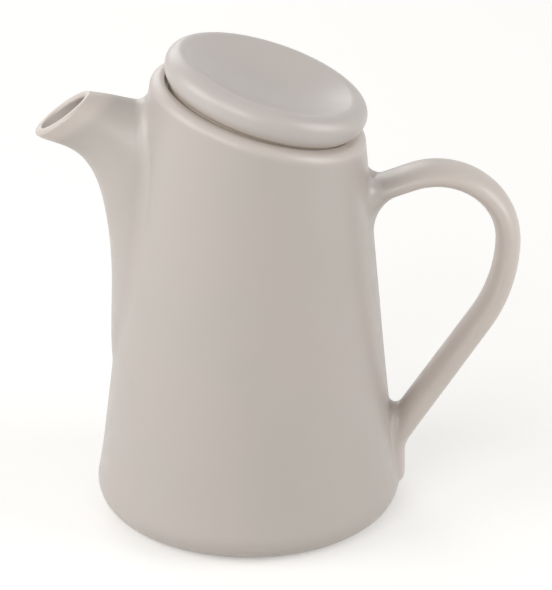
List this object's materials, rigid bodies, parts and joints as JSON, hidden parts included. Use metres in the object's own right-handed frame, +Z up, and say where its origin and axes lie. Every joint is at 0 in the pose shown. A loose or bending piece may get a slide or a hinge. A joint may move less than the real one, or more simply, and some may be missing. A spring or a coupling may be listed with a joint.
{
  "type": "coffee pot",
  "caption": "Tall glazed stoneware coffee pot with a slanting rim, a spout that grows out of the wall, a looped strap handle and a dished lift-off lid.",
  "frame": {"origin": "middle of the foot ring, on the plane the pot stands on", "axes": "+Z up, +X towards the handle, -X towards the spout, so that the XZ plane is the plane of symmetry"},
  "size_m": [0.193, 0.1238, 0.1967],
  "materials": {
    "glaze": "satin gloss warm off-white glaze",
    "lid_glaze": "satin gloss warm off-white glaze"
  },
  "bodies": {
    "pot": {"pot_body": "glaze", "spout": "glaze", "handle": "glaze"},
    "lid": {"lid": "lid_glaze"}
  },
  "joints": [
    {"name": "lid_lift", "type": "slide", "parent": "pot", "child": "lid", "axis": [0.2967, 0, 0.955], "range_m": [0, 0.06]}
  ]
}
